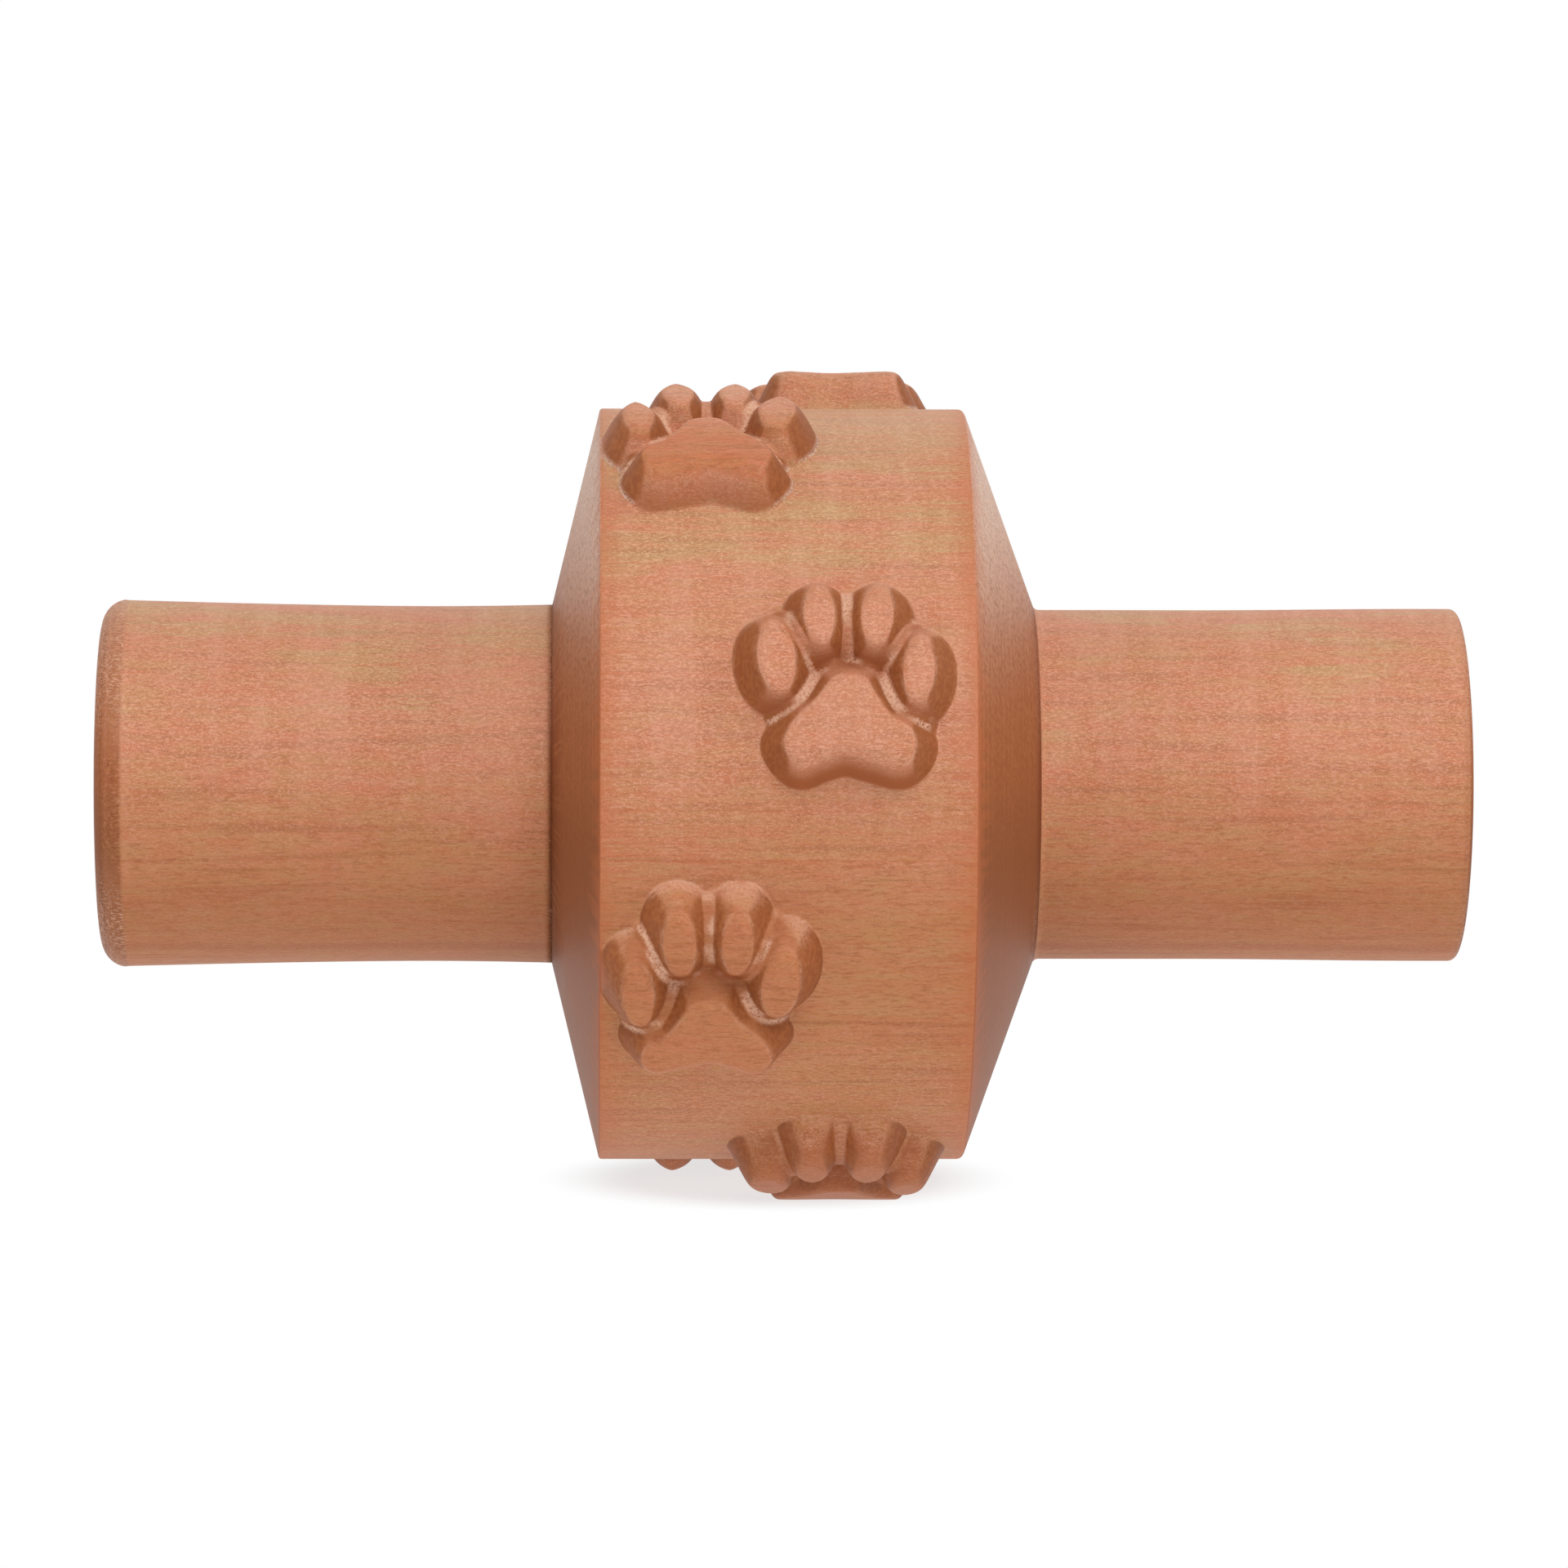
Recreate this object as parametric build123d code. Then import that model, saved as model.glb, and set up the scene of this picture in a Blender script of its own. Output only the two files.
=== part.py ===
# Hand roller for clay: a wooden drum with raised paw prints, glued on one through dowel
# whose two ends are the handles. All lengths are millimetres. The roller's axis is X,
# +Z is up, and the origin is on the axis at half the overall length. The roller lies
# on its prints, with the edges of two neighbouring prints touching the table.
import os
from math import cos, radians, sin, tan

from build123d import *

# Drum: the rolling band and the cone on each side of it
band_radius = 30.0
band_width = 28.9
left_cone_length = 3.8
right_cone_length = 5.7
left_edge_radius = 0.2
right_edge_radius = 0.5

# Spindle: the seat in the drum and the two handles
seat_radius = 14.25
glue_line = 0.05
left_handle_length = 35.8
left_junction_radius = 14.35
left_waist_radius = 14.19
left_waist_distance = 10.2
left_outer_radius = 14.65
left_end_rounding = 2.0
right_handle_length = 34.0
right_handle_radius = 14.05
right_end_rounding = 0.8

# Paw prints: the top face of a print, its relief and its place on the band
print_width = 13.8
print_height = 14.8
relief_height = 3.25
wall_draft_angle = 27.5
prints_per_track = 4
right_track_offset = 4.2
left_track_offset = 5.9
root_depth = 0.5
top_overrun = 0.2

# Toes, from the outer left one to the outer right one: centre across and along the
# print, half width and half length, as shares of the print's width and height, and
# the lean of the toe in degrees, positive to the left
toe_shares = [
    (-0.383, 0.095, 0.111, 0.199, 8.0),
    (-0.143, 0.328, 0.093, 0.172, 3.0),
    (0.179, 0.325, 0.097, 0.176, -4.0),
    (0.407, 0.027, 0.094, 0.186, -5.0),
]

# Main pad: its outline across and along the print, as shares of the width and height
pad_shares = [
    (-0.063, -0.031),
    (0.029, -0.014),
    (0.117, -0.041),
    (0.183, -0.141),
    (0.254, -0.234),
    (0.357, -0.299),
    (0.391, -0.392),
    (0.316, -0.499),
    (0.159, -0.466),
    (0.000, -0.429),
    (-0.138, -0.466),
    (-0.254, -0.502),
    (-0.339, -0.394),
    (-0.325, -0.316),
    (-0.260, -0.234),
    (-0.172, -0.156),
]

# How many wall lines shape the slope round a toe and round the main pad
toe_wall_line_count = 12
pad_wall_line_count = 32

# Places along the axis, worked out from the lengths
drum_length = left_cone_length + band_width + right_cone_length
overall_length = left_handle_length + drum_length + right_handle_length
left_end_x = -overall_length / 2
drum_left_x = left_end_x + left_handle_length
band_left_x = drum_left_x + left_cone_length
band_right_x = band_left_x + band_width
drum_right_x = band_right_x + right_cone_length
right_end_x = drum_right_x + right_handle_length
band_middle_x = (band_left_x + band_right_x) / 2

# Radii and angles worked out from the sizes
bore_radius = seat_radius + glue_line
top_radius = band_radius + relief_height
wall_run = relief_height * tan(radians(wall_draft_angle))
print_pitch_angle = 360 / prints_per_track


def turned(profile):
    """A solid of revolution round the roller's axis, from a closed half section."""
    return revolve(make_face(profile), axis=Axis.X)


def eased(body, rim_index, radius):
    """The body with one rim rounded over, counted from the left end, or from the right if negative."""
    rims = body.edges().filter_by(GeomType.CIRCLE).sort_by(Axis.X)
    return fillet(rims[rim_index], radius)


def rolling_drum():
    """The band, its two cones and the bore, without the prints."""
    section = Polyline(
        (drum_left_x, bore_radius),
        (band_left_x, band_radius),
        (band_right_x, band_radius),
        (drum_right_x, bore_radius),
        close=True,
    )
    # The outermost rims are the mouths of the bore, and the next ones the band's edges
    body = eased(turned(section), 1, left_edge_radius)
    return eased(body, -2, right_edge_radius)


def on_drum(across, angle, radius):
    """A point of a print whose middle faces +Z, from its place across and round the drum."""
    return Vector(across, radius * sin(angle), radius * cos(angle))


def raised_form(outline, line_count):
    """One raised form of a print, with sloping walls, from the outline of its top face.

    The outline is a closed edge in the XY plane: X is across the print, and Y is along
    it, measured on the top face. Each wall line runs from the top edge to the foot on
    the band, and is carried on to a flat cut below the band and one above the top.
    """
    middle_angle = outline.center(CenterOf.BOUNDING_BOX).Y / top_radius
    up = on_drum(0, middle_angle, 1)
    wall_lines = []
    for step in range(line_count):
        place = outline.position_at(step / line_count)
        away = outline.tangent_at(step / line_count).cross(Plane.XY.z_dir)
        top_angle = place.Y / top_radius
        foot_angle = top_angle + wall_run * away.Y / band_radius
        top = on_drum(place.X, top_angle, top_radius)
        foot = on_drum(place.X + wall_run * away.X, foot_angle, band_radius)
        wall_lines.append((top, foot))
    upper_level = top_radius + top_overrun
    lower_level = min(foot.dot(up) for top, foot in wall_lines) - root_depth

    def cut_at(level):
        points = []
        for top, foot in wall_lines:
            share = (level - top.dot(up)) / (foot.dot(up) - top.dot(up))
            points.append(top + (foot - top) * share)
        return Wire([Spline(*points, periodic=True)])

    return Solid.make_loft([cut_at(lower_level), cut_at(upper_level)], ruled=True)


def toe_outline(across_share, along_share, half_width_share, half_length_share, lean):
    """The top face of one toe, an upright ellipse that leans a little."""
    toe = Ellipse(half_width_share * print_width, half_length_share * print_height)
    place = Pos(across_share * print_width, along_share * print_height)
    return (place * Rot(Z=lean) * toe).edge()


def pad_outline():
    """The top face of the main pad."""
    points = [(across * print_width, along * print_height) for across, along in pad_shares]
    # The outline runs anticlockwise, as an ellipse does
    return Spline(*reversed(points), periodic=True).edge()


def paw_print():
    """A whole print, for the right track, with its middle facing +Z."""
    forms = [raised_form(toe_outline(*shares), toe_wall_line_count) for shares in toe_shares]
    pad = raised_form(pad_outline(), pad_wall_line_count)
    return pad + forms


def print_tracks():
    """Both rings of prints: the left one is a mirror image, half a pitch further round."""
    right_print = Pos(X=band_middle_x + right_track_offset) * paw_print()
    left_print = Pos(X=band_middle_x - left_track_offset) * mirror(paw_print(), about=Plane.YZ)
    prints = []
    for index in range(prints_per_track):
        # A quarter of a pitch each way puts the table midway between two prints
        turn = index * print_pitch_angle + print_pitch_angle / 4
        prints.append(Rot(X=turn) * left_print)
        prints.append(Rot(X=turn + print_pitch_angle / 2) * right_print)
    # The prints end where the flat of the band ends and at the top radius
    flat_left_x = band_left_x + left_edge_radius
    flat_right_x = band_right_x - right_edge_radius
    limits = Cylinder(top_radius, flat_right_x - flat_left_x, rotation=(0, 90, 0))
    limits = Pos(X=(flat_left_x + flat_right_x) / 2) * limits
    return [raised & limits for raised in prints]


def roller_drum():
    """The drum with its carved prints, one solid."""
    return rolling_drum() + print_tracks()


def spindle():
    """One dowel: left handle, seat in the drum and right handle."""
    waist_x = drum_left_x - left_waist_distance
    hollow = ThreePointArc(
        (left_end_x, left_outer_radius),
        (waist_x, left_waist_radius),
        (drum_left_x, left_junction_radius),
    )
    steps = Polyline(
        (drum_left_x, left_junction_radius),
        (drum_left_x, seat_radius),
        (drum_right_x, seat_radius),
        (drum_right_x, right_handle_radius),
        (right_end_x, right_handle_radius),
        (right_end_x, 0),
        (left_end_x, 0),
        (left_end_x, left_outer_radius),
    )
    dowel = eased(turned(hollow + steps), 0, left_end_rounding)
    return eased(dowel, -1, right_end_rounding)


os.makedirs("parts", exist_ok=True)
export_step(roller_drum(), "parts/roller_drum.step")
export_step(spindle(), "parts/spindle.step")
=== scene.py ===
import math

import bmesh
import bpy
import numpy as np
from mathutils import Matrix, Vector


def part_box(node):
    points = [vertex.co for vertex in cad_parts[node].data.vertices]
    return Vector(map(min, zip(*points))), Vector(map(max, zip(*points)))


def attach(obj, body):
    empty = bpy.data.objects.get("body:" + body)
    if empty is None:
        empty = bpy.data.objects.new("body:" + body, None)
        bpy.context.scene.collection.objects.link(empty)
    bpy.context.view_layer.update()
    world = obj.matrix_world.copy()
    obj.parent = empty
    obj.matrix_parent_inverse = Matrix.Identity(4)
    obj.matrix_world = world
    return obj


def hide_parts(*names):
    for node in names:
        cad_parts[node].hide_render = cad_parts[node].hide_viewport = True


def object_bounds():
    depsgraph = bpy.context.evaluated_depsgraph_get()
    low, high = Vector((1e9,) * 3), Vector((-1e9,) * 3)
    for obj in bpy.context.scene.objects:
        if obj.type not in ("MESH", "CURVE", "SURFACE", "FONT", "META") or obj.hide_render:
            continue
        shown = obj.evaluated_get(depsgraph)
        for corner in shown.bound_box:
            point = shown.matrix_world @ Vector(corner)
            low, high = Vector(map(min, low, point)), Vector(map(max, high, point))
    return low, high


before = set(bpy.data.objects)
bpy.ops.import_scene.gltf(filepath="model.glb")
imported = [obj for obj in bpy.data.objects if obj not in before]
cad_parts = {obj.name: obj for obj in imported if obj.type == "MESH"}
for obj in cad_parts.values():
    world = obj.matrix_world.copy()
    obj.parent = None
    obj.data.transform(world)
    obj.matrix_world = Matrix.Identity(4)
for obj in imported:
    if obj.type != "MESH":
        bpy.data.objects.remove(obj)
cad_low, cad_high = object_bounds()

MM = 0.001

# Places along the axis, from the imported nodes
drum_left_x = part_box("roller_drum")[0].x / MM
drum_right_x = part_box("roller_drum")[1].x / MM
left_end_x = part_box("spindle")[0].x / MM
right_end_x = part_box("spindle")[1].x / MM

# Drum
band_radius = 30.0
left_cone_length = 3.8
right_cone_length = 5.7
left_edge_radius = 0.25
right_edge_radius = 0.5
bore_radius = 14.3
band_left_x = drum_left_x + left_cone_length
band_right_x = drum_right_x - right_cone_length
band_middle_x = (band_left_x + band_right_x) / 2

# Left handle: a waist, from which the radius grows to the end and to the drum
left_end_radius = 14.68
waist_radius = 14.19
waist_distance = 10.2
left_junction_radius = 14.33
left_end_rounding = 2.0
outward_power = 1.5
inward_power = 2
waist_x = drum_left_x - waist_distance

# Right handle: a fillet at the drum and a slight flare before the end
right_inner_radius = 13.98
right_outer_radius = 14.12
flare_length = 18.1
flare_end_distance = 3.0
junction_fillet = 0.5
right_end_rounding = 0.6
flare_end_x = right_end_x - flare_end_distance

# Seat in the drum's bore, and how far inside the bore it begins and ends
seat_radius = 14.25
seat_inset = 0.01

# Paw prints: sizes, and the cone-shaped cutter with a flat tip that carved them
print_width = 13.8
print_height = 14.8
relief_height = 3.25
wall_draft_angle = 27.5
cutter_tip_width = 0.75
wall_slope = 1 / math.tan(math.radians(wall_draft_angle))
wall_run = relief_height / wall_slope
top_radius = band_radius + relief_height
middle_radius = band_radius + relief_height / 2

# Tracks of prints: how far from the band's middle, and the angle of each one's first print
prints_per_track = 4
right_track_offset = 4.2
left_track_offset = 5.9
first_right_angle = 22.5
first_left_angle = 67.5

# Rounding between the top of a form and its wall: at its sides, at the lower side of the
# pad and at the upper end of a toe; then where walls meet the band and a groove's floor
side_rounding = 0.8
pad_rounding = 1.8
tip_rounding = 2.2
foot_rounding = 0.3
floor_rounding = 0.12

# Toes: centre across and along, half width and half length as shares of the print, and
# the lean in degrees, positive to the left
toe_shares = [
    (-0.383, 0.095, 0.111, 0.199, 8.0),
    (-0.143, 0.328, 0.093, 0.172, 3.0),
    (0.179, 0.325, 0.097, 0.176, -4.0),
    (0.407, 0.027, 0.094, 0.186, -5.0),
]

# The stretch of a toe on which its upper end sets in, as shares of its half length
toe_end_shares = (-0.2, 0.9)

# Main pad: its outline across and along the print, as shares of the width and height
pad_shares = [
    (-0.063, -0.031),
    (0.029, -0.014),
    (0.117, -0.041),
    (0.183, -0.141),
    (0.254, -0.234),
    (0.357, -0.299),
    (0.391, -0.392),
    (0.316, -0.499),
    (0.159, -0.466),
    (0.000, -0.429),
    (-0.138, -0.466),
    (-0.254, -0.502),
    (-0.339, -0.394),
    (-0.325, -0.316),
    (-0.260, -0.234),
    (-0.172, -0.156),
]

# Which way a wall faces: the slopes between which it begins to count and counts in full
sideways_slopes = (0.25, 0.75)
endways_slopes = (0.3, 0.9)
groove_side_slopes = (0.4, 0.75)

# Brown on the walls of a print, partly their own colour and partly painted shade: more painted
# shade on those that face down and in the ends of grooves, less on those that face up
lower_wall_shade = 1.8
upper_wall_shade_loss = 0.9
groove_end_shade = 2.0

# Pale cut fibres, with painted highlight at the feet of and on the walls that face up: how
# strong each is, and how far it reaches from its edge
edge_fuzz = 0.3
edge_fuzz_reach = 0.12
edge_fuzz_distance = 0.02
foot_fuzz_and_highlight = 0.7
foot_fuzz_and_highlight_reach = 0.1
upper_wall_highlight = 0.6

# Where those masks set in and are full, past the top edge of a wall, its foot, the width
# of a groove or the edge of its floor, and along a wall as shares of its run
wall_top_fade = (-0.1, 0.3)
lower_wall_fade = (0.1, 1.1)
wall_foot_fade = (-0.2, 0.1)
groove_fade = (-0.4, 0.1)
groove_floor_fade = (-0.12, 0.06)
upper_wall_fade_shares = (-0.1, 1.0)

# How much of the cut across the fibres shows on the rounded ends of the handles
left_rounding_end_grain = 0.6
right_rounding_end_grain = 0.4
end_grain_slopes = (0.35, 0.85)

# Mesh of the drum: points round it, rows of points, and how many degrees a print's grid
# reaches each way from its middle
drum_columns = 1440
band_rows = 190
left_edge_rows = 4
right_edge_rows = 5
cone_row_shares = np.array([0, 0.12, 0.3, 0.5, 0.7, 0.85, 0.94, 0.985])
print_reach_angle = 24
toe_points = 96
pad_points_per_share = 12
drum_triangles = 194000

# Mesh of the dowel: points round it and rows of points
dowel_columns = 256
left_handle_rows = 60
right_handle_rows = 52
left_rounding_rows = 12
right_rounding_rows = 8
fillet_row_shares = np.array([0, 0.1, 0.25, 0.5, 0.75])
end_face_shares = (0.02, 0.3, 0.6, 0.9, 0.99)


def smooth_step(low, high, value):
    """0 up to low and 1 from high on, with a smooth rise between them."""
    share = np.clip((value - low) / (high - low), 0, 1)
    return share * share * (3 - 2 * share)


def smooth_max(a, b, width):
    """The greater of two values, rounded where they differ by less than the width."""
    near = np.maximum(width - np.abs(a - b), 0) / width
    return np.maximum(a, b) + near * near * width / 4


def smooth_min(a, b, width):
    return -smooth_max(-a, -b, width)


def facing_up(along_slope):
    """How much a wall faces the upper end of its print, from the slope along the print."""
    return smooth_step(*endways_slopes, along_slope)


def toe_outline(across_share, along_share, half_width_share, half_length_share, lean):
    """The top face of one toe, an upright ellipse that leans a little."""
    turn = np.linspace(0, 2 * math.pi, toe_points, endpoint=False)
    across = half_width_share * print_width * np.cos(turn)
    along = half_length_share * print_height * np.sin(turn)
    tilt = math.radians(lean)
    x = across * math.cos(tilt) - along * math.sin(tilt) + across_share * print_width
    y = across * math.sin(tilt) + along * math.cos(tilt) + along_share * print_height
    return np.column_stack([x, y])


def toe_end(across, along, across_share, along_share, half_width_share, half_length_share, lean):
    """How near to the upper end of a toe each place lies, from 0 by its middle to 1 at its tip."""
    tilt = math.radians(lean)
    up_the_toe = ((along - along_share * print_height) * math.cos(tilt)
                  - (across - across_share * print_width) * math.sin(tilt))
    return smooth_step(*toe_end_shares, up_the_toe / (half_length_share * print_height))


def pad_outline():
    """The top face of the main pad, a closed Catmull-Rom curve through its points."""
    points = np.array(pad_shares) * (print_width, print_height)
    before, after, later = np.roll(points, 1, 0), np.roll(points, -1, 0), np.roll(points, -2, 0)
    curve = []
    for t in np.linspace(0, 1, pad_points_per_share, endpoint=False):
        curve.append(0.5 * (2 * points + (after - before) * t
                            + (2 * before - 5 * points + 4 * after - later) * t ** 2
                            + (3 * points - before - 3 * after + later) * t ** 3))
    return np.stack(curve, axis=1).reshape(-1, 2)


def signed_distance(points, outline):
    """How far each point lies outside a closed outline; negative inside."""
    start, end = outline, np.roll(outline, -1, 0)
    side = end - start
    rise = np.where(side[:, 1] == 0, 1e-9, side[:, 1])
    block_size = 4000
    result = np.empty(len(points))
    for first in range(0, len(points), block_size):
        block = points[first:first + block_size]
        offset = block[:, None] - start
        share = np.clip((offset * side).sum(2) / (side * side).sum(1), 0, 1)
        gap = offset - share[..., None] * side
        distance = np.sqrt((gap * gap).sum(2).min(1))
        crosses = (start[:, 1] > block[:, None, 1]) != (end[:, 1] > block[:, None, 1])
        crossing_x = start[:, 0] + side[:, 0] * (block[:, None, 1] - start[:, 1]) / rise
        inside = (crosses & (block[:, None, 0] < crossing_x)).sum(1) % 2 == 1
        result[first:first + block_size] = np.where(inside, -distance, distance)
    return result


def form_distances(across, along):
    """How far each place of a grid lies outside each form of a print: four toes and the pad.

    The outlines are top faces, so their lengths along the print shrink to the middle radius."""
    shrink = (1, middle_radius / top_radius)
    outlines = [toe_outline(*shares) for shares in toe_shares] + [pad_outline()]
    points = np.column_stack([across.ravel(), along.ravel()])
    distances = [signed_distance(points, outline * shrink) for outline in outlines]
    return np.array(distances).reshape(len(outlines), *across.shape)


def print_relief(across, along):
    """Height of one print over the band, and masks of its walls, which hold painted shade, and of
    its fuzzy places, which hold painted highlight, on a grid of places across and along it.

    The cutter is a cone with a flat tip: it goes less deep into a narrow groove than into a
    wide one, and leaves a floor as wide as its tip. The toes are domed at their upper ends
    and the pad at its lower side, and all other top edges are only eased."""
    distances = form_distances(across, along)
    distance, next_distance = np.sort(distances, axis=0)[:2]
    nearest = distances.argmin(axis=0)[None]

    def of_nearest(values):
        return np.take_along_axis(np.array(values), nearest, 0)[0]

    slopes = [np.gradient(form, across[:, 0], along[0]) for form in distances]
    across_slope = of_nearest([slope[0] for slope in slopes])
    along_slope = of_nearest([slope[1] for slope in slopes])

    toe_ends = [toe_end(across, along, *shares) for shares in toe_shares]
    roundings = [side_rounding + (tip_rounding - side_rounding) * end for end in toe_ends]
    roundings.append(side_rounding + (pad_rounding - side_rounding) * facing_up(-along_slope))
    floor_reach = (distance + next_distance - cutter_tip_width) / 2
    reach = smooth_min(distance, floor_reach, floor_rounding)
    height = smooth_min(relief_height, relief_height - reach * wall_slope, of_nearest(roundings))
    height = smooth_max(height, 0.0, foot_rounding)
    return height, *print_masks(distance, floor_reach, across_slope, along_slope)


def print_masks(distance, floor_reach, across_slope, along_slope):
    """Masks of the walls and of the cut fibres, from the distance to the nearest form, how far
    from it the cutter's tip stays, and the way that the wall there faces. The wall mask is
    partly painted shade: more where walls face down and in the ends of grooves, less where
    they face up.

    Fibres lie across the print. Cut fibres stand along its sides' top edges and on the narrow
    floors of the grooves between toes and pad. At the feet of the walls that face up the pale
    is cut fibres and painted highlight, and on those walls it is painted highlight."""
    sideways = smooth_step(*sideways_slopes, np.abs(across_slope))
    upward, downward = facing_up(along_slope), facing_up(-along_slope)
    in_groove = 1 - smooth_step(*groove_fade, floor_reach - wall_run)
    on_floor = smooth_step(*groove_floor_fade, distance - floor_reach) * in_groove

    wall = smooth_step(*wall_top_fade, distance) * (1 - smooth_step(*wall_foot_fade, distance - wall_run))
    # Painted shade: walls that face down and the ends of grooves darker, walls that face up less so
    more = lower_wall_shade * downward * smooth_step(*lower_wall_fade, distance)
    less = upper_wall_shade_loss * upward * (1 - in_groove)
    wall = wall * (1 + more - less)
    wall = np.maximum(wall, groove_end_shade * on_floor * (1 - sideways))

    floor = on_floor * smooth_step(*groove_side_slopes, np.abs(across_slope))
    edge = np.exp(-((distance + edge_fuzz_distance) / edge_fuzz_reach) ** 2)
    # Pale at the feet of walls that face up is cut fibres and painted highlight; on those walls it is
    # painted highlight
    foot = foot_fuzz_and_highlight * np.exp(-((distance - wall_run) / foot_fuzz_and_highlight_reach) ** 2)
    on_wall = upper_wall_highlight * smooth_step(*upper_wall_fade_shares, distance / wall_run)
    on_wall = on_wall * (distance < wall_run)
    foot = np.maximum(foot, on_wall) * upward * (1 - in_groove)
    fuzz_and_highlight = np.maximum(floor, np.maximum(edge_fuzz * edge * sideways, foot))
    return wall, fuzz_and_highlight


def rounded_corner(before, corner, after, radius, rows):
    """Points of an arc that rounds a corner of a section."""
    into = (corner - before) / np.linalg.norm(corner - before)
    out = (after - corner) / np.linalg.norm(after - corner)
    turn = math.acos(np.dot(into, out))
    start = corner - into * radius * math.tan(turn / 2)
    normal = out - into * np.dot(out, into)
    normal /= np.linalg.norm(normal)
    points = []
    for angle in np.linspace(0, turn, rows):
        points.append(start + into * radius * math.sin(angle) + normal * radius * (1 - math.cos(angle)))
    return points


def on_line(start, end, shares):
    """Points at shares of the way from a start to an end."""
    return [start + (end - start) * share for share in shares]


def ring_mesh(name, x, radius, columns, closed_rows):
    """A mesh of rings round the axis, one for each row of places along it and radii. With
    closed rows, the last ring joins the first."""
    angle = np.linspace(0, 2 * math.pi, columns, endpoint=False)
    x, angle, radius = np.broadcast_arrays(x, angle, radius)
    points = np.stack([x, -radius * np.cos(angle), radius * np.sin(angle)], axis=-1)
    low = np.arange(x.size).reshape(x.shape)
    high = np.roll(low, -1, 0)
    if not closed_rows:
        low, high = low[:-1], high[:-1]
    quads = np.stack([low, np.roll(low, -1, 1), np.roll(high, -1, 1), high], axis=-1)
    mesh = bpy.data.meshes.new(name)
    mesh.from_pydata((points.reshape(-1, 3) * MM).tolist(), [], quads.reshape(-1, 4).tolist())
    mesh.update()
    return mesh


def add_mask(mesh, name, values):
    """Stores one value per point, which the wood reads by name."""
    attribute = mesh.attributes.new(name, "FLOAT", "POINT")
    attribute.data.foreach_set("value", np.asarray(values, np.float32).ravel())


def add_end_grain_mask(mesh, least=0.0, most=1.0):
    """How far the surface cuts across the fibres, which run along X, kept within limits."""
    normals = np.empty(len(mesh.vertices) * 3, np.float32)
    mesh.vertices.foreach_get("normal", normals)
    across = smooth_step(*end_grain_slopes, np.abs(normals[0::3]))
    add_mask(mesh, "end_grain", np.clip(across, least, most))


def drum_section():
    """The drum's half section, from the left mouth of its bore over the band and back through
    the bore, and which of its rows are the band."""
    left_mouth = np.array([drum_left_x, bore_radius])
    right_mouth = np.array([drum_right_x, bore_radius])
    left_rim = np.array([band_left_x, band_radius])
    right_rim = np.array([band_right_x, band_radius])
    left_arc = rounded_corner(left_mouth, left_rim, right_rim, left_edge_radius, left_edge_rows)
    right_arc = rounded_corner(left_rim, right_rim, right_mouth, right_edge_radius, right_edge_rows)
    section = on_line(left_mouth, left_arc[0], cone_row_shares)
    section += left_arc[:-1]
    band = slice(len(section), len(section) + band_rows)
    section += on_line(left_arc[-1], right_arc[0], np.linspace(0, 1, band_rows))
    section += right_arc[1:]
    section += on_line(right_arc[-1], right_mouth, (1 - cone_row_shares)[::-1])
    section.append((left_mouth + right_mouth) / 2)
    return np.array(section), band


def carved_prints(x, band):
    """Relief, wall mask and fuzz mask of all the prints on the drum's grid of points."""
    height, wall, fuzz_and_highlight = np.zeros((3, len(x), drum_columns))
    reach = round(print_reach_angle / 360 * drum_columns)
    steps = np.arange(-reach, reach + 1)
    along = steps * 2 * math.pi / drum_columns * middle_radius
    for track_x, side, first_angle in (
            (band_middle_x + right_track_offset, 1, first_right_angle),
            (band_middle_x - left_track_offset, -1, first_left_angle)):
        carved = print_relief(*np.broadcast_arrays((x[band] - track_x) * side, along))
        for number in range(prints_per_track):
            turn = first_angle / 360 + number / prints_per_track
            columns = (round(turn * drum_columns) + steps) % drum_columns
            for grid, values in zip((height, wall, fuzz_and_highlight), carved):
                grid[band, columns] = np.maximum(grid[band, columns], values)
    return height, wall, fuzz_and_highlight


def drum_mesh():
    section, band = drum_section()
    x, radius = section[:, :1], section[:, 1:]
    height, wall, fuzz_and_highlight = carved_prints(x, band)
    mesh = ring_mesh("wood_roller_drum", x, radius + height, drum_columns, True)
    rim = np.zeros(height.shape)
    rim[band.start - left_edge_rows + 1:band.start + 1] = 1
    rim[band.stop - 1:band.stop + right_edge_rows - 1] = 1
    for name, values in (("wall", wall), ("fuzz_and_highlight", fuzz_and_highlight), ("rim", rim)):
        add_mask(mesh, name, values)
    add_end_grain_mask(mesh)
    return thinned(mesh, drum_triangles)


def thinned(mesh, triangles):
    """The same surface with fewer triangles where it is plain."""
    name = mesh.name
    holder = bpy.data.objects.new("thinning", mesh)
    bpy.context.scene.collection.objects.link(holder)
    modifier = holder.modifiers.new("thinning", "DECIMATE")
    modifier.ratio = triangles / (2 * len(mesh.polygons))
    graph = bpy.context.evaluated_depsgraph_get()
    result = bpy.data.meshes.new_from_object(holder.evaluated_get(graph))
    bpy.data.objects.remove(holder)
    bpy.data.meshes.remove(mesh)
    result.name = name
    return result


def left_handle_radius(x):
    outward = np.clip((waist_x - x) / (waist_x - left_end_x), 0, 1) ** outward_power
    inward = np.clip((x - waist_x) / (drum_left_x - waist_x), 0, 1) ** inward_power
    radius = waist_radius + (left_end_radius - waist_radius) * outward
    return radius + (left_junction_radius - waist_radius) * inward


def right_handle_radius(x):
    flare = smooth_step(flare_end_x - flare_length, flare_end_x, x)
    radius = right_inner_radius + (right_outer_radius - right_inner_radius) * flare
    fillet = np.clip(1 - (x - drum_right_x) / junction_fillet, 0, 1) ** 2
    return radius + (bore_radius - right_inner_radius) * fillet


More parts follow.
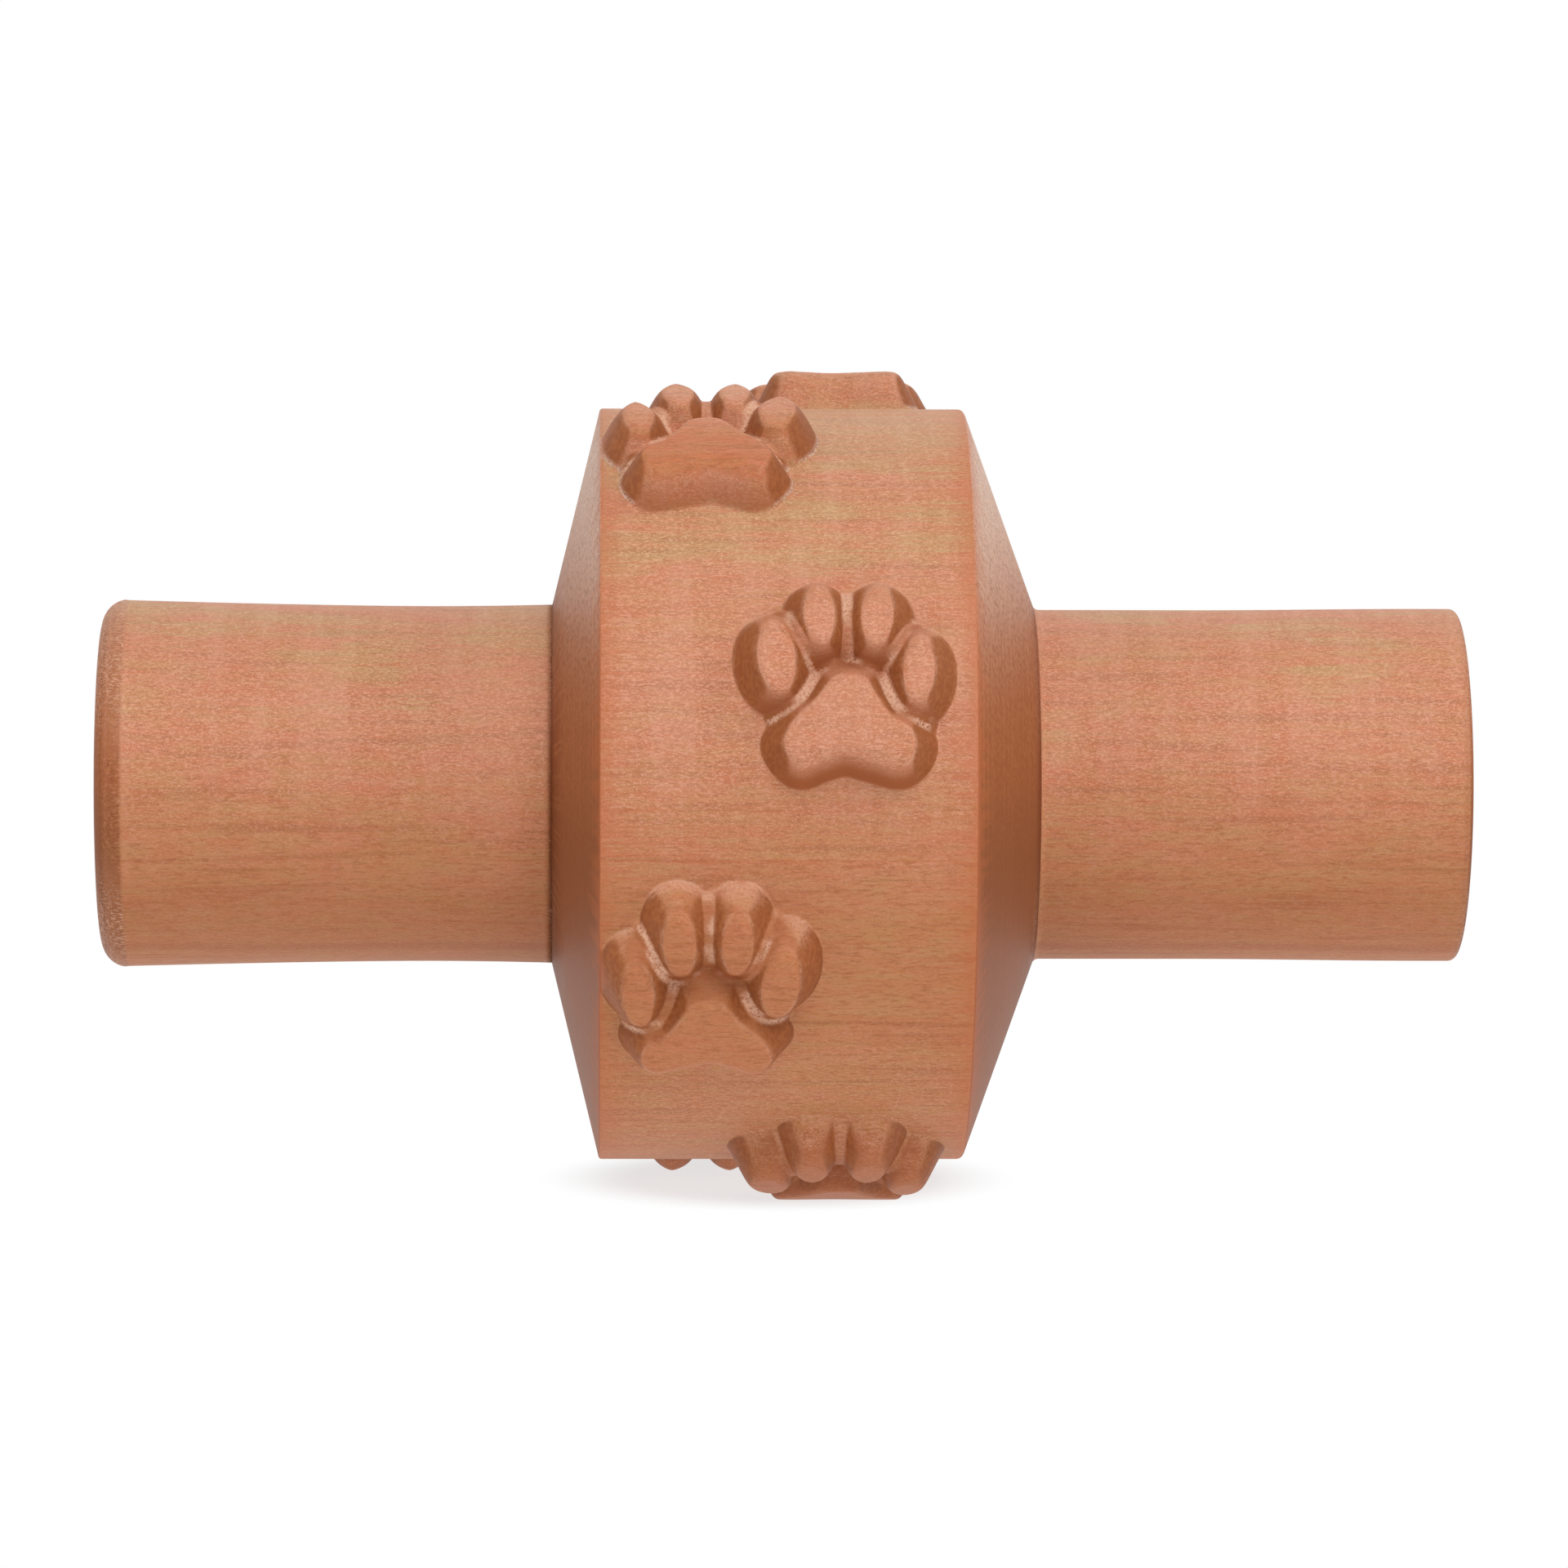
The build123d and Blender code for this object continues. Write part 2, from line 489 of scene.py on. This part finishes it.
def rounded_end(end_x, inward, end_radius, rounding, rows):
    """Points of one end of the dowel, from near the axis out over the rounded edge; inward is
    1 at the left end and -1 at the right one."""
    points = [(end_x, (end_radius - rounding) * share) for share in end_face_shares]
    for turn in np.radians(np.linspace(0, 90, rows)):
        points.append((end_x + inward * rounding * (1 - math.cos(turn)),
                       end_radius - rounding * (1 - math.sin(turn))))
    return points


def dowel_section():
    """The dowel's half section, from its left end to its right one."""
    left_end = rounded_end(left_end_x, 1, left_end_radius, left_end_rounding, left_rounding_rows)
    right_end = rounded_end(right_end_x, -1, right_outer_radius, right_end_rounding, right_rounding_rows)
    left_x = np.linspace(left_end_x + left_end_rounding, drum_left_x, left_handle_rows)
    right_x = np.linspace(drum_right_x + junction_fillet, right_end_x - right_end_rounding,
                          right_handle_rows)
    right_x = np.concatenate([drum_right_x + fillet_row_shares * junction_fillet, right_x])
    seat = [(drum_left_x + seat_inset, seat_radius), (drum_right_x - seat_inset, seat_radius)]
    # Each handle's own row takes the place of the last one on its rounded edge
    return np.vstack([
        left_end[:-1],
        np.column_stack([left_x, left_handle_radius(left_x)]),
        seat,
        np.column_stack([right_x, right_handle_radius(right_x)]),
        right_end[-2::-1],
    ])


def dowel_mesh():
    section = dowel_section()
    x, radius = section[:, :1], section[:, 1:]
    mesh = ring_mesh("wood_spindle", x, radius, dowel_columns, False)
    close_ends(mesh, dowel_columns)
    for name in ("wall", "fuzz_and_highlight", "rim"):
        add_mask(mesh, name, np.zeros(len(mesh.vertices)))
    face_rows = len(end_face_shares)
    least = np.zeros((len(section), dowel_columns))
    least[face_rows:face_rows + left_rounding_rows] = left_rounding_end_grain
    least[-face_rows - right_rounding_rows:-face_rows] = right_rounding_end_grain
    # The fillet is steep, but it is side grain
    on_fillet = np.abs(x - drum_right_x) < junction_fillet
    most = np.where(on_fillet, 0.0, np.ones_like(least))
    add_end_grain_mask(mesh, least.ravel(), most.ravel())
    return mesh


def close_ends(mesh, columns):
    """Closes the first and the last ring of a mesh with one flat face each."""
    body = bmesh.new()
    body.from_mesh(mesh)
    body.verts.ensure_lookup_table()
    body.faces.new(body.verts[:columns][::-1])
    body.faces.new(body.verts[-columns:])
    bmesh.ops.recalc_face_normals(body, faces=body.faces)
    body.to_mesh(mesh)
    body.free()


def place(mesh, node, material):
    """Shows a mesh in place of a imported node, on the one body of the part."""
    for polygon in mesh.polygons:
        polygon.use_smooth = True
    piece = bpy.data.objects.new("wood_" + node, mesh)
    bpy.context.scene.collection.objects.link(piece)
    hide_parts(node)
    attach(piece, "root")
    piece.data.materials.append(material)


class Shader:
    """A material's or the world's nodes, with short calls that make and link them."""

    def __init__(self, tree):
        self.tree = tree
        tree.nodes.clear()

    def node(self, kind, inputs=(), **settings):
        made = self.tree.nodes.new(kind)
        for name, value in settings.items():
            setattr(made, name, value)
        for socket, value in dict(inputs).items():
            if isinstance(value, bpy.types.NodeSocket):
                self.tree.links.new(value, made.inputs[socket])
            else:
                made.inputs[socket].default_value = value
        return made

    def math(self, operation, a, b=0.0):
        return self.node("ShaderNodeMath", {0: a, 1: b}, operation=operation).outputs[0]

    def plus(self, a, b):
        return self.math("ADD", a, b)

    def minus(self, a, b):
        return self.math("SUBTRACT", a, b)

    def times(self, first, *others):
        for other in others:
            first = self.math("MULTIPLY", first, other)
        return first

    def scaled(self, vector, scale):
        return self.node("ShaderNodeVectorMath", {0: vector, 1: scale}, operation="MULTIPLY").outputs[0]

    def length(self, vector):
        return self.node("ShaderNodeVectorMath", {0: vector}, operation="LENGTH").outputs["Value"]

    def noise(self, vector, along, across, detail):
        """Noise of mean 0.5, with one scale along X, one across it, and levels of detail."""
        mapped = self.node("ShaderNodeMapping", {"Vector": vector, "Scale": (along, across, across)})
        inputs = {"Vector": mapped.outputs[0], "Scale": 1.0, "Detail": detail}
        return self.node("ShaderNodeTexNoise", inputs).outputs[0]

    def fade(self, value, start, full):
        """0 before a value comes to the start, 1 once it is at full, and a smooth rise between
        them, upward or downward."""
        return self.node("ShaderNodeMapRange", {"Value": value, "From Min": start, "From Max": full},
                         interpolation_type="SMOOTHSTEP").outputs[0]

    def mix(self, share, base, colour):
        """The base with a share of another colour; the numbers are the node's colour sockets."""
        return self.node("ShaderNodeMix", {0: share, 6: base, 7: colour}, data_type="RGBA").outputs[2]

    def paint(self, base, colour, *where, share):
        """The base with up to a share of another colour, where all the given masks are full."""
        return self.mix(self.times(*where, share), base, colour)

    def mix_shaders(self, share, base, other):
        return self.node("ShaderNodeMixShader", {0: share, 1: base, 2: other}).outputs[0]

    def mask(self, name):
        return self.node("ShaderNodeAttribute", attribute_name=name).outputs["Fac"]

    def light(self, kind, colour, strength):
        return self.node(kind, {"Color": colour, "Strength": strength}).outputs[0]

    def seen(self):
        """1 for rays that show a surface, straight to the camera or in gloss or glass."""
        path = self.node("ShaderNodeLightPath").outputs
        indirect = self.math("MAXIMUM", path["Is Glossy Ray"], path["Is Transmission Ray"])
        return self.math("MAXIMUM", path["Is Camera Ray"], indirect)


def linear(red, green, blue):
    """A colour as a picture holds it, 0 to 255, in Blender's own light scale."""
    def lit(value):
        share = value / 255
        return share / 12.92 if share <= 0.04045 else ((share + 0.055) / 1.055) ** 2.4
    return (lit(red), lit(green), lit(blue), 1.0)


# Colours of side grain, of walls and rims, and of end grain and cut fibres. The pale flecks
# also paint sheen, the wall colour also paints shade, end_shade is painted shade on the cones,
# the near-white for the cone tops is painted sheen, and the fibre colour also paints highlight
# and sheen
pink_wood = linear(195, 122, 88)
peach_wood = linear(188, 125, 80)
tan_wood = linear(180, 131, 84)
red_wood = linear(189, 108, 70)
dark_grain = linear(160, 92, 56)
pale_fleck_and_sheen = linear(222, 165, 138)
cream_fleck_and_sheen = linear(216, 176, 140)
wall_wood_and_shade = linear(160, 90, 52)
rim_wood = linear(188, 103, 62)
end_wood = linear(166, 99, 57)
end_dark = linear(148, 84, 48)
end_shade = linear(130, 74, 42)
cone_top_sheen_wood = linear(230, 208, 192)
fuzz_and_sheen_wood = linear(218, 170, 142)

# Noise in the wood: its scale per millimetre along and across the fibres, and its detail
hue_noise = (0.12, 0.45, 3.0)
blot_noise = (0.35, 1.1, 3.0)
band_noise = (0.5, 0.05, 3.0)
patch_noise = (0.08, 0.3, 3.0)
streak_noise = (0.06, 1.5, 3.0)
line_noise = (0.12, 3.0, 2.0)
grain_noise = (1.0, 5.0, 2.0)
fleck_noise = (2.6, 7.0, 2.0)
speck_noise = (5.5, 9.0, 1.0)
wander_noise = (0.03, 0.0, 2.0)
pore_noise = (2.5, 2.5, 3.0)
turning_noise = (2.0, 1.0, 3.0)
tuft_noise = (0.4, 0.4, 1.0)
lint_noise = (5.0, 5.0, 2.0)

# Radii at which looks of the wood begin and are full
print_top_radii = (band_radius + 2.0, band_radius + 2.8)
print_side_radii = (band_radius + 0.5, band_radius + 1.5)
below_prints_radii = (band_radius + 1.0, band_radius + 0.2)
cone_radii = (band_radius + 0.6, band_radius - 0.2)
chip_outer_radii = (16.0, 15.0)
chip_inner_radii = (11.0, 13.0)

# Heights at which looks of side grain begin and are full; those for the prints' underside and
# for the walls place painted shade, and those for pale flecks place painted sheen
lower_tan_heights = (3.0, -9.0)
print_red_heights = (31.0, 27.5)
print_underside_shade_heights = (-18.0, -26.0)
bare_from_heights = (16.0, 26.0)
bare_up_to_heights = (32.0, 29.0)
sheen_fleck_heights = (-8.0, 9.0)
low_sheen_fleck_heights = (-12.0, -24.0)
wall_shade_heights = (31.0, 19.0)
fuzz_heights = (-32.0, -12.0)

# Heights at which looks of end grain begin and are full; the cone shade is painted shade and
# the pale on the cones is painted sheen; chips lie both ways from the axis
cone_shade_heights = (8.0, -4.0)
upper_cone_sheen_heights = (6.0, 26.0)
lower_cone_sheen_heights = (-8.0, -24.0)
cone_top_sheen_heights = (14.0, 27.0)
chip_heights = (3.0, 10.0)

# Greatest shares of dust and flecks, partly painted sheen, of brown on the walls, partly
# painted shade, and of the pale on the cones, which is painted sheen, all over or in the
# places named
dust_and_sheen_share = 0.14
band_dust_and_sheen_share = 0.14
fleck_share = 0.12
upper_sheen_fleck_share = 0.4
low_sheen_fleck_share = 0.22
print_top_sheen_fleck_loss_share = 0.2
wall_brown_share = 0.04
lower_wall_shade_share = 0.31
upper_cone_sheen_share = 0.9
lower_cone_sheen_share = 0.05

# Growth: how much patches move the height where tan growth begins, and over what height it
# sets in; and how far a dark line wanders, and how far from it its two shades reach
tan_patch_reach = 50.0
tan_fade_below = 3.0
tan_fade_above = 5.0
line_wander = 1.2
line_distances = (0.6, 0.1)
line_shade_distances = (7.0, 3.0)

# Gloss and bumps: how much the finer specks add, and how much smoother end grain is
wood_roughness = 0.5
wood_specular = 0.16
bump_height = 0.07
bump_strength = 0.6
speck_bump_share = 0.7
end_grain_smoothness_share = 0.7

# How far flecks make the edge between side grain and end grain ragged
ragged_share = 0.7


class WoodShader(Shader):
    """The nodes of pale close-grained wood, whose fibres run along X. Tan growth begins at
    tan_height, and a dark line may run at line_height.

    Where a look follows noise, the two numbers of its fade are the noise at which it begins
    and is full. They lie round the noise's mean, so they say how much wood the look covers."""

    def __init__(self, tree, tan_height, line_height):
        super().__init__(tree)
        metres = self.node("ShaderNodeTexCoord").outputs["Object"]
        self.point = self.scaled(metres, (1 / MM, 1 / MM, 1 / MM))
        self.height = self.node("ShaderNodeSeparateXYZ", {0: self.point}).outputs[2]
        self.radius = self.length(self.scaled(self.point, (0, 1, 1)))
        self.line_height = line_height
        self.flecks = self.grain(fleck_noise)
        self.specks = self.grain(speck_noise)
        self.on_print_top = self.fade(self.radius, *print_top_radii)
        self.tan = self.tan_growth(tan_height)
        self.node("ShaderNodeOutputMaterial", {"Surface": self.surface()})

    def grain(self, noise):
        return self.noise(self.point, *noise)

    def at_height(self, heights):
        return self.fade(self.height, *heights)

    def tan_growth(self, tan_height):
        """Where the wood has grown tan, apart from the prints."""
        patches = self.times(self.minus(self.grain(patch_noise), 0.5), tan_patch_reach)
        moved = self.plus(self.height, patches)
        tan = self.fade(moved, tan_height - tan_fade_below, tan_height + tan_fade_above)
        return self.times(tan, self.fade(self.radius, *below_prints_radii))

    def side_grain(self):
        """Wood cut along its fibres."""
        blots, lines = self.grain(blot_noise), self.grain(line_noise)
        face = self.mix(self.fade(self.grain(hue_noise), 0.4, 0.6), pink_wood, peach_wood)
        face = self.paint(face, red_wood, self.fade(blots, 0.52, 0.38), share=0.6)
        face = self.paint(face, tan_wood, self.fade(blots, 0.5, 0.64), share=0.4)
        face = self.mix(self.times(self.tan, self.fade(lines, 0.4, 0.55)), face, tan_wood)
        face = self.paint(face, red_wood, self.fade(lines, 0.5, 0.38), share=0.5)
        face = self.paint(face, tan_wood, self.fade(lines, 0.52, 0.66), share=0.3)
        face = self.paint(face, tan_wood, self.at_height(lower_tan_heights), share=0.35)
        face = self.paint(face, red_wood, self.on_print_top, self.at_height(print_red_heights),
                          share=0.4)
        # Painted shade: the raised prints darker on the underside of the drum
        face = self.paint(face, dark_grain, self.fade(self.radius, *print_side_radii),
                          self.at_height(print_underside_shade_heights), share=0.5)
        face = self.paint(face, dark_grain, self.fade(self.grain(streak_noise), 0.52, 0.7), share=0.55)
        if self.line_height is not None:
            face = self.with_growth_line(face)
        face = self.paint(face, dark_grain, self.fade(self.grain(grain_noise), 0.52, 0.32), share=0.55)
        face = self.with_flecks_and_sheen(face)
        # Painted shade: walls of prints low on the drum browner than those near its top
        brown = self.times(self.at_height(wall_shade_heights), lower_wall_shade_share)
        brown = self.plus(wall_brown_share, brown)
        return self.mix(self.times(self.mask("wall"), brown), face, wall_wood_and_shade)

    def with_growth_line(self, face):
        """A thin dark line that wanders a little, in a wider and fainter shade."""
        wander = self.times(self.grain(wander_noise), line_wander)
        line = self.math("ABSOLUTE", self.minus(self.plus(self.height, wander), self.line_height))
        face = self.paint(face, dark_grain, self.fade(line, *line_distances), share=0.5)
        shade = self.math("ABSOLUTE", self.minus(self.height, self.line_height))
        return self.paint(face, dark_grain, self.fade(shade, *line_shade_distances), share=0.3)

    def with_flecks_and_sheen(self, face):
        """Pale dust and flecks, partly painted sheen: fewer on the tops of the prints near the top,
        and fewer in the lower half, apart from its lowest parts."""
        fleck_and_sheen = self.mix(self.tan, pale_fleck_and_sheen, cream_fleck_and_sheen)
        # Painted sheen: pale dust and flecks in the upper half and on the lowest parts
        bare = self.times(self.at_height(bare_from_heights), self.at_height(bare_up_to_heights))
        pale = self.minus(1.0, self.times(self.on_print_top, bare))
        pale = self.times(pale, self.at_height(sheen_fleck_heights))
        in_bands = self.times(self.fade(self.grain(band_noise), 0.42, 0.62), band_dust_and_sheen_share)
        face = self.mix(self.times(pale, self.plus(dust_and_sheen_share, in_bands)), face, fleck_and_sheen)
        low = self.minus(low_sheen_fleck_share, self.times(self.on_print_top, print_top_sheen_fleck_loss_share))
        low = self.times(self.at_height(low_sheen_fleck_heights), low)
        pale = self.plus(self.plus(self.times(pale, upper_sheen_fleck_share), low), fleck_share)
        face = self.mix(self.times(self.fade(self.flecks, 0.48, 0.66), pale), face, fleck_and_sheen)
        return self.mix(self.times(self.fade(self.specks, 0.5, 0.7), pale), face, fleck_and_sheen)

    def end_grain(self):
        """Wood cut across its fibres, turned on the cones and chipped on the handles' ends, with
        painted shade and sheen on the cones.
        """
        pores = self.grain(pore_noise)
        from_axis = self.node("ShaderNodeCombineXYZ", {0: self.radius}).outputs[0]
        rings = self.noise(from_axis, *turning_noise)
        on_cone = self.fade(self.radius, *cone_radii)
        end = self.mix(self.fade(pores, 0.35, 0.7), end_dark, end_wood)
        end = self.paint(end, pink_wood, self.fade(rings, 0.45, 0.65), on_cone, share=0.3)
        # Painted shade: the cones darker from just above the middle down
        end = self.paint(end, end_shade, self.at_height(cone_shade_heights), on_cone, share=0.75)
        # Painted sheen: pale on the upper part of the cones and a little on their lower part
        cone_sheen = self.plus(self.times(self.at_height(upper_cone_sheen_heights), upper_cone_sheen_share),
                          self.times(self.at_height(lower_cone_sheen_heights), lower_cone_sheen_share))
        end = self.mix(self.times(cone_sheen, on_cone, self.fade(pores, 0.2, 0.6)), end, fuzz_and_sheen_wood)
        # Painted sheen: near-white flecks near the top of the cones
        top_sheen = self.times(self.at_height(cone_top_sheen_heights), on_cone)
        end = self.mix(self.times(top_sheen, self.fade(self.flecks, 0.36, 0.64)), end, cone_top_sheen_wood)
        chips = self.times(self.fade(self.math("ABSOLUTE", self.height), *chip_heights),
                           self.fade(self.radius, *chip_outer_radii),
                           self.fade(self.radius, *chip_inner_radii))
        return self.paint(end, fuzz_and_sheen_wood, chips, self.fade(self.flecks, 0.48, 0.62), share=0.6)

    def fuzz_and_highlight(self):
        """Cut fibres that stand up here and there, and painted highlight on the walls of prints that
        face up, fewer toward the bottom.
        """
        tufts = self.fade(self.grain(tuft_noise), 0.36, 0.58)
        lint = self.fade(self.grain(lint_noise), 0.25, 0.58)
        return self.times(self.mask("fuzz_and_highlight"), tufts, self.at_height(fuzz_heights), lint)

    def surface(self):
        """The whole wood: side grain and end grain, with a ragged edge between the two."""
        ragged = self.times(self.minus(self.flecks, 0.5), ragged_share)
        across = self.fade(self.plus(self.mask("end_grain"), ragged), 0.25, 0.75)
        colour = self.mix(across, self.side_grain(), self.end_grain())
        # Pale cut fibres, with painted highlight on the walls that face up
        colour = self.mix(self.fuzz_and_highlight(), colour, fuzz_and_sheen_wood)
        colour = self.paint(colour, rim_wood, self.mask("rim"), share=0.5)
        bumps = self.plus(self.flecks, self.times(self.specks, speck_bump_share))
        rough = self.minus(1.0, self.times(across, end_grain_smoothness_share))
        bumps = self.times(bumps, rough)
        bump = self.node("ShaderNodeBump", {
            "Height": bumps, "Strength": bump_strength, "Distance": bump_height * MM})
        return self.node("ShaderNodeBsdfPrincipled", {
            "Base Color": colour, "Roughness": wood_roughness,
            "Specular IOR Level": wood_specular, "Normal": bump.outputs[0]}).outputs[0]


def wood(name, tan_height, line_height=None):
    """A wood material; without a line height it has no dark growth line."""
    material = bpy.data.materials.new(name)
    material.use_nodes = True
    WoodShader(material.node_tree, tan_height, line_height)
    return material


# Levels of light, where 1 makes a white face look white: all round, and from the table
room_light = 0.05
table_light = 0.7
white = (1, 1, 1, 1)

# Table: its size and its own grey, and the place that shows a shadow, with its radii and
# how far it is shifted and squeezed along Y
table_size = 16000.0
table_grey = (0.4, 0.4, 0.4, 1)
shadow_radii = (20.0, 11.0)
shadow_shift = 5.0
shadow_squeeze = 1.3
shadow_face = (0.34, 0.31, 0.3, 1)
shadow_glow = (0.68, 0.71, 0.72, 1)


def table():
    """A white table that shows the roller's shadow only close to where it stands."""
    bpy.ops.mesh.primitive_plane_add(size=table_size * MM, location=(0, 0, cad_low.z))
    floor = bpy.context.object
    floor.name = "table"
    material = bpy.data.materials.new("table_white")
    material.use_nodes = True
    shader = Shader(material.node_tree)
    point = shader.node("ShaderNodeMapping", {
        "Vector": shader.node("ShaderNodeTexCoord").outputs["Object"],
        "Location": (0, -shadow_shift * MM, 0), "Scale": (1, shadow_squeeze, 1)}).outputs[0]
    near = shader.fade(shader.length(point), *(radius * MM for radius in shadow_radii))

    def glowing_face(face, glow, strength):
        diffuse = shader.node("ShaderNodeBsdfDiffuse", {"Color": face}).outputs[0]
        emission = shader.light("ShaderNodeEmission", glow, strength)
        return shader.node("ShaderNodeAddShader", {0: diffuse, 1: emission}).outputs[0]

    unseen = glowing_face(table_grey, white, table_light)
    shadowed = glowing_face(shadow_face, shadow_glow, 1.0)
    plain = shader.light("ShaderNodeEmission", white, 1.0)
    shown = shader.mix_shaders(near, plain, shadowed)
    surface = shader.mix_shaders(shader.seen(), unseen, shown)
    shader.node("ShaderNodeOutputMaterial", {"Surface": surface})
    floor.data.materials.append(material)


def room():
    """A white room that gives a little light from all round."""
    world = bpy.data.worlds.new("room")
    bpy.context.scene.world = world
    world.use_nodes = True
    shader = Shader(world.node_tree)
    unseen = shader.light("ShaderNodeBackground", white, room_light)
    shown = shader.light("ShaderNodeBackground", white, 1.0)
    surface = shader.mix_shaders(shader.seen(), unseen, shown)
    shader.node("ShaderNodeOutputWorld", {"Surface": surface})


# Lamps: azimuth and elevation in degrees, and the level of light that each gives
lamp_distance = 900.0
lamp_size = 500.0
lamps = (
    ("front_lamp", 8.0, 37.0, 0.47),
    ("top_lamp", 10.0, 75.0, 0.23),
    ("back_lamp", 175.0, 45.0, 0.12),
    ("right_lamp", 75.0, 40.0, 0.27),
    ("left_lamp", -75.0, 40.0, 0.22),
)


def soft_lamp(name, azimuth, elevation, level):
    """A square lamp that looks at the roller."""
    around, up = math.radians(azimuth), math.radians(elevation)
    sideways, toward = math.sin(around) * math.cos(up), math.cos(around) * math.cos(up)
    direction = Vector((sideways, -toward, math.sin(up)))
    distance = lamp_distance * MM
    lamp = bpy.data.lights.new(name, "AREA")
    lamp.shape = "SQUARE"
    lamp.size = lamp_size * MM
    lamp.energy = level * math.pi ** 2 * distance ** 2
    holder = bpy.data.objects.new(name, lamp)
    bpy.context.scene.collection.objects.link(holder)
    holder.location = direction * distance
    holder.rotation_euler = (-direction).to_track_quat("-Z", "Y").to_euler()


# Camera: where it stands, in millimetres and degrees, the point that it looks at, and its
# lens and sensor; then the nearest and the farthest thing that it shows
camera_distance = 612.0
camera_elevation = 7.57
camera_x = -14.8
aim_x = 0.27
camera_roll = 0.27
lens_length = 175.47
sensor_width = 36.0
nearest_shown = 10.0
farthest_shown = 100000.0


def camera():
    up = math.radians(camera_elevation)
    stand = Vector((camera_x, -camera_distance * math.cos(up), camera_distance * math.sin(up))) * MM
    aim = Vector((aim_x * MM, 0, 0))
    data = bpy.data.cameras.new("camera")
    data.lens = lens_length
    data.sensor_width = sensor_width
    data.clip_start = nearest_shown * MM
    data.clip_end = farthest_shown * MM
    holder = bpy.data.objects.new("camera", data)
    bpy.context.scene.collection.objects.link(holder)
    level = (aim - stand).to_track_quat("-Z", "Y").to_matrix().to_4x4()
    roll = Matrix.Rotation(math.radians(camera_roll), 4, "Z")
    holder.matrix_world = Matrix.Translation(stand) @ level @ roll
    bpy.context.scene.camera = holder


# Heights where tan growth begins in each blank, and where the dowel has a dark growth line
drum_tan_height = 22.0
dowel_tan_height = 13.0
dowel_line_height = -11.4

camera()
table()
room()
for lamp in lamps:
    soft_lamp(*lamp)
bpy.context.scene.view_settings.view_transform = "Standard"

drum_grain = wood("drum_grain", drum_tan_height)
dowel_grain = wood("spindle_grain", dowel_tan_height, dowel_line_height)
place(drum_mesh(), "roller_drum", drum_grain)
place(dowel_mesh(), "spindle", dowel_grain)
